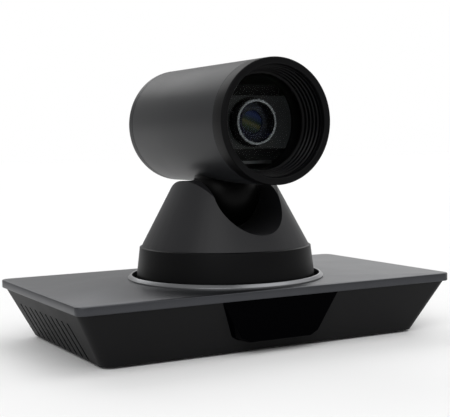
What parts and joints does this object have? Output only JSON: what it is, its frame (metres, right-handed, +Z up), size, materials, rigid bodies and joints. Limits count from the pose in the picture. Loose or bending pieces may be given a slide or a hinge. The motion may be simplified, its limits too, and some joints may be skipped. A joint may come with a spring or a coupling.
{
  "type": "pan and tilt conference camera",
  "caption": "Video camera: a lens barrel tilts on a neck held between the ears of a cone that pans on a flat tapered base with rear sockets.",
  "frame": {"origin": "bottom centre of the feet, under the pan axis", "axes": "+Z up, lens looks along -Y at rest, +X to the right as seen from the front"},
  "size_m": [0.254, 0.14, 0.173],
  "materials": {
    "plate_graphite": "fine bead-blasted, dark grey anodised",
    "shell_black": "moulded ABS with a fine spark texture",
    "smoked_window": "polished smoked acrylic",
    "ring_silver": "turned, satin anodised",
    "collar_black": "moulded ABS, smooth satin",
    "cone_grey": "satin soft-touch lacquer on ABS",
    "barrel_grey": "satin powder coat on an aluminium tube",
    "baffle_black": "matt black moulded hood",
    "mask_grey": "glossy dark grey",
    "clear_glass": "flat, clear",
    "lens_glass": "coated lens glass",
    "snout_black": "smooth black lens tube",
    "steel": "ground or plated",
    "zinc_sheet": "zinc-plated sheet",
    "brass": "turned",
    "cast_alloy": "die cast",
    "gear_white": "moulded acetal",
    "rubber_black": "moulded",
    "board_green": "solder mask",
    "socket_black": "moulded",
    "socket_steel": "plated shell"
  },
  "bodies": {
    "base": {"base_shell": "shell_black", "bottom_cover": "zinc_sheet", "top_plate": "plate_graphite", "trim_ring": "ring_silver", "ir_window": "smoked_window", "ir_receiver": "board_green", "tripod_insert": "brass", "rubber_feet": "rubber_black", "base_screws": "steel", "port_panel": "shell_black", "power_socket": "socket_black", "lan_socket": "socket_steel", "data_sockets": "socket_steel", "audio_sockets": "socket_black", "main_board": "board_green", "heat_sink": "cast_alloy", "pan_chassis": "zinc_sheet", "pan_bearing_inner": "steel", "spindle_nut": "brass", "pan_motor": "steel", "pan_harness": "rubber_black"},
    "pan_casing": {"turntable": "cast_alloy", "pan_gear": "gear_white", "pan_bearing_outer": "steel", "collar": "collar_black", "cone_shell": "cone_grey", "tilt_bracket": "zinc_sheet", "tilt_bearings": "steel", "tilt_motor": "steel", "tilt_belt": "rubber_black", "drive_board": "board_green", "collar_screws": "steel"},
    "pan_pinion": {"pan_pinion": "brass"},
    "tilt_drive": {"tilt_drive_pulley": "brass"},
    "head": {"tilt_shaft": "steel", "neck_front_shell": "collar_black", "neck_rear_shell": "collar_black", "head_frame": "zinc_sheet", "barrel": "barrel_grey", "front_bezel": "collar_black", "rear_cap": "barrel_grey", "cap_screws": "steel", "hood_baffle": "baffle_black", "front_glass": "clear_glass", "glass_ring": "baffle_black", "lens_mask": "mask_grey", "lens_housing": "baffle_black", "lens_snout": "snout_black", "front_lenses": "lens_glass", "guide_rods": "steel", "lens_motors": "steel", "sensor_board": "board_green", "camera_board": "board_green"},
    "zoom_group": {"zoom_carriage": "gear_white", "zoom_lens": "lens_glass"},
    "focus_group": {"focus_carriage": "gear_white", "focus_lens": "lens_glass"},
    "filter": {"filter_slide": "gear_white"},
    "button": {"power_button": "socket_black"}
  },
  "joints": [
    {"name": "pan", "type": "hinge", "parent": "base", "child": "pan_casing", "pos_m": [0, 0, 0], "axis": [0, 0, 1], "range_deg": [-170, 170]},
    {"name": "pan_pinion_spin", "type": "hinge", "parent": "base", "child": "pan_pinion", "pos_m": [0.04365, 0, 0], "axis": [0, 0, 1], "range_deg": [-820, 820]},
    {"name": "tilt", "type": "hinge", "parent": "pan_casing", "child": "head", "pos_m": [0, 0, 0.0903], "axis": [-1, 0, 0], "range_deg": [-30, 30]},
    {"name": "tilt_drive_spin", "type": "hinge", "parent": "pan_casing", "child": "tilt_drive", "pos_m": [0, 0, 0.0536], "axis": [-1, 0, 0], "range_deg": [-47, 47]},
    {"name": "zoom_travel", "type": "slide", "parent": "head", "child": "zoom_group", "axis": [0, 1, 0], "range_m": [-0.014, 0.008]},
    {"name": "focus_travel", "type": "slide", "parent": "head", "child": "focus_group", "axis": [0, 1, 0], "range_m": [-0.004, 0.006]},
    {"name": "filter_travel", "type": "slide", "parent": "head", "child": "filter", "axis": [1, 0, 0], "range_m": [-0.0042, 0]},
    {"name": "power_press", "type": "slide", "parent": "base", "child": "button", "axis": [0, -1, 0], "range_m": [0, 0.001], "stiffness_N_per_m": 800, "springref_m": -0.0005}
  ],
  "couplings": [
    {"joint": "pan_pinion_spin", "follows": "pan", "ratio": -4.8},
    {"joint": "tilt_drive_spin", "follows": "tilt", "ratio": 1.5333}
  ]
}
